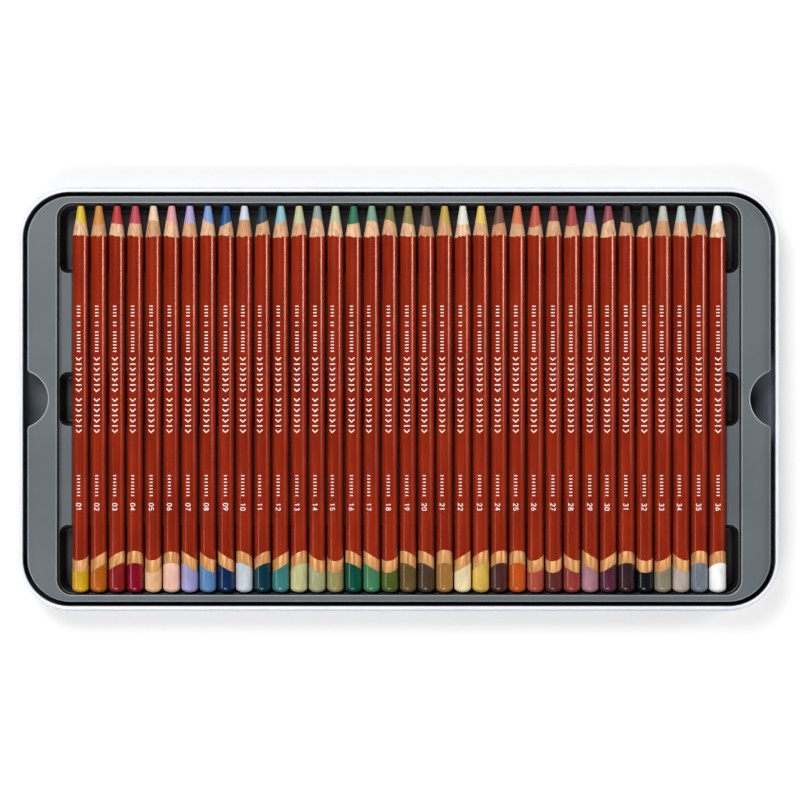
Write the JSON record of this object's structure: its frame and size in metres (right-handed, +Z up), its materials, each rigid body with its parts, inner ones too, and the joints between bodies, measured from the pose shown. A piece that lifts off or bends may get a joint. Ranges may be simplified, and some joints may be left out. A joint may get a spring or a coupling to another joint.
{
  "type": "colored pencil tin",
  "caption": "Flat rectangular steel tin with rounded corners and a lift-out plastic tray that holds one row of round, sharpened coloured pencils over finger wells.",
  "frame": {"origin": "middle of the flat face that the tin stands on, at the centre of its outline", "axes": "+X along the row of pencils, +Y towards the sharpened tips, +Z up out of the open tin"},
  "size_m": [0.3464, 0.1932, 0.0183],
  "materials": {
    "tinplate": "satin pale silver lacquer outside, dark grey inside",
    "tray_plastic": "satin",
    "pencil_lacquer": "glossy red-brown lacquer, gold band, dipped end"
  },
  "bodies": {
    "lid": {"lid": "tinplate"},
    "tin_base": {"tin_base": "tinplate"},
    "tray": {"tray": "tray_plastic"},
    "pencil_01": {"pencil_01": "pencil_lacquer"},
    "pencil_02": {"pencil_02": "pencil_lacquer"},
    "pencil_03": {"pencil_03": "pencil_lacquer"},
    "pencil_04": {"pencil_04": "pencil_lacquer"},
    "pencil_05": {"pencil_05": "pencil_lacquer"},
    "pencil_06": {"pencil_06": "pencil_lacquer"},
    "pencil_07": {"pencil_07": "pencil_lacquer"},
    "pencil_08": {"pencil_08": "pencil_lacquer"},
    "pencil_09": {"pencil_09": "pencil_lacquer"},
    "pencil_10": {"pencil_10": "pencil_lacquer"},
    "pencil_11": {"pencil_11": "pencil_lacquer"},
    "pencil_12": {"pencil_12": "pencil_lacquer"},
    "pencil_13": {"pencil_13": "pencil_lacquer"},
    "pencil_14": {"pencil_14": "pencil_lacquer"},
    "pencil_15": {"pencil_15": "pencil_lacquer"},
    "pencil_16": {"pencil_16": "pencil_lacquer"},
    "pencil_17": {"pencil_17": "pencil_lacquer"},
    "pencil_18": {"pencil_18": "pencil_lacquer"},
    "pencil_19": {"pencil_19": "pencil_lacquer"},
    "pencil_20": {"pencil_20": "pencil_lacquer"},
    "pencil_21": {"pencil_21": "pencil_lacquer"},
    "pencil_22": {"pencil_22": "pencil_lacquer"},
    "pencil_23": {"pencil_23": "pencil_lacquer"},
    "pencil_24": {"pencil_24": "pencil_lacquer"},
    "pencil_25": {"pencil_25": "pencil_lacquer"},
    "pencil_26": {"pencil_26": "pencil_lacquer"},
    "pencil_27": {"pencil_27": "pencil_lacquer"},
    "pencil_28": {"pencil_28": "pencil_lacquer"},
    "pencil_29": {"pencil_29": "pencil_lacquer"},
    "pencil_30": {"pencil_30": "pencil_lacquer"},
    "pencil_31": {"pencil_31": "pencil_lacquer"},
    "pencil_32": {"pencil_32": "pencil_lacquer"},
    "pencil_33": {"pencil_33": "pencil_lacquer"},
    "pencil_34": {"pencil_34": "pencil_lacquer"},
    "pencil_35": {"pencil_35": "pencil_lacquer"},
    "pencil_36": {"pencil_36": "pencil_lacquer"}
  },
  "joints": [
    {"name": "base_lift", "type": "slide", "parent": "lid", "child": "tin_base", "axis": [0, 0, 1], "range_m": [0, 0.06]},
    {"name": "tray_lift", "type": "slide", "parent": "tin_base", "child": "tray", "axis": [0, 0, 1], "range_m": [0, 0.05]},
    {"name": "pencil_01_lift", "type": "slide", "parent": "tray", "child": "pencil_01", "axis": [0, 0, 1], "range_m": [0, 0.04]},
    {"name": "pencil_02_lift", "type": "slide", "parent": "tray", "child": "pencil_02", "axis": [0, 0, 1], "range_m": [0, 0.04]},
    {"name": "pencil_03_lift", "type": "slide", "parent": "tray", "child": "pencil_03", "axis": [0, 0, 1], "range_m": [0, 0.04]},
    {"name": "pencil_04_lift", "type": "slide", "parent": "tray", "child": "pencil_04", "axis": [0, 0, 1], "range_m": [0, 0.04]},
    {"name": "pencil_05_lift", "type": "slide", "parent": "tray", "child": "pencil_05", "axis": [0, 0, 1], "range_m": [0, 0.04]},
    {"name": "pencil_06_lift", "type": "slide", "parent": "tray", "child": "pencil_06", "axis": [0, 0, 1], "range_m": [0, 0.04]},
    {"name": "pencil_07_lift", "type": "slide", "parent": "tray", "child": "pencil_07", "axis": [0, 0, 1], "range_m": [0, 0.04]},
    {"name": "pencil_08_lift", "type": "slide", "parent": "tray", "child": "pencil_08", "axis": [0, 0, 1], "range_m": [0, 0.04]},
    {"name": "pencil_09_lift", "type": "slide", "parent": "tray", "child": "pencil_09", "axis": [0, 0, 1], "range_m": [0, 0.04]},
    {"name": "pencil_10_lift", "type": "slide", "parent": "tray", "child": "pencil_10", "axis": [0, 0, 1], "range_m": [0, 0.04]},
    {"name": "pencil_11_lift", "type": "slide", "parent": "tray", "child": "pencil_11", "axis": [0, 0, 1], "range_m": [0, 0.04]},
    {"name": "pencil_12_lift", "type": "slide", "parent": "tray", "child": "pencil_12", "axis": [0, 0, 1], "range_m": [0, 0.04]},
    {"name": "pencil_13_lift", "type": "slide", "parent": "tray", "child": "pencil_13", "axis": [0, 0, 1], "range_m": [0, 0.04]},
    {"name": "pencil_14_lift", "type": "slide", "parent": "tray", "child": "pencil_14", "axis": [0, 0, 1], "range_m": [0, 0.04]},
    {"name": "pencil_15_lift", "type": "slide", "parent": "tray", "child": "pencil_15", "axis": [0, 0, 1], "range_m": [0, 0.04]},
    {"name": "pencil_16_lift", "type": "slide", "parent": "tray", "child": "pencil_16", "axis": [0, 0, 1], "range_m": [0, 0.04]},
    {"name": "pencil_17_lift", "type": "slide", "parent": "tray", "child": "pencil_17", "axis": [0, 0, 1], "range_m": [0, 0.04]},
    {"name": "pencil_18_lift", "type": "slide", "parent": "tray", "child": "pencil_18", "axis": [0, 0, 1], "range_m": [0, 0.04]},
    {"name": "pencil_19_lift", "type": "slide", "parent": "tray", "child": "pencil_19", "axis": [0, 0, 1], "range_m": [0, 0.04]},
    {"name": "pencil_20_lift", "type": "slide", "parent": "tray", "child": "pencil_20", "axis": [0, 0, 1], "range_m": [0, 0.04]},
    {"name": "pencil_21_lift", "type": "slide", "parent": "tray", "child": "pencil_21", "axis": [0, 0, 1], "range_m": [0, 0.04]},
    {"name": "pencil_22_lift", "type": "slide", "parent": "tray", "child": "pencil_22", "axis": [0, 0, 1], "range_m": [0, 0.04]},
    {"name": "pencil_23_lift", "type": "slide", "parent": "tray", "child": "pencil_23", "axis": [0, 0, 1], "range_m": [0, 0.04]},
    {"name": "pencil_24_lift", "type": "slide", "parent": "tray", "child": "pencil_24", "axis": [0, 0, 1], "range_m": [0, 0.04]},
    {"name": "pencil_25_lift", "type": "slide", "parent": "tray", "child": "pencil_25", "axis": [0, 0, 1], "range_m": [0, 0.04]},
    {"name": "pencil_26_lift", "type": "slide", "parent": "tray", "child": "pencil_26", "axis": [0, 0, 1], "range_m": [0, 0.04]},
    {"name": "pencil_27_lift", "type": "slide", "parent": "tray", "child": "pencil_27", "axis": [0, 0, 1], "range_m": [0, 0.04]},
    {"name": "pencil_28_lift", "type": "slide", "parent": "tray", "child": "pencil_28", "axis": [0, 0, 1], "range_m": [0, 0.04]},
    {"name": "pencil_29_lift", "type": "slide", "parent": "tray", "child": "pencil_29", "axis": [0, 0, 1], "range_m": [0, 0.04]},
    {"name": "pencil_30_lift", "type": "slide", "parent": "tray", "child": "pencil_30", "axis": [0, 0, 1], "range_m": [0, 0.04]},
    {"name": "pencil_31_lift", "type": "slide", "parent": "tray", "child": "pencil_31", "axis": [0, 0, 1], "range_m": [0, 0.04]},
    {"name": "pencil_32_lift", "type": "slide", "parent": "tray", "child": "pencil_32", "axis": [0, 0, 1], "range_m": [0, 0.04]},
    {"name": "pencil_33_lift", "type": "slide", "parent": "tray", "child": "pencil_33", "axis": [0, 0, 1], "range_m": [0, 0.04]},
    {"name": "pencil_34_lift", "type": "slide", "parent": "tray", "child": "pencil_34", "axis": [0, 0, 1], "range_m": [0, 0.04]},
    {"name": "pencil_35_lift", "type": "slide", "parent": "tray", "child": "pencil_35", "axis": [0, 0, 1], "range_m": [0, 0.04]},
    {"name": "pencil_36_lift", "type": "slide", "parent": "tray", "child": "pencil_36", "axis": [0, 0, 1], "range_m": [0, 0.04]}
  ]
}
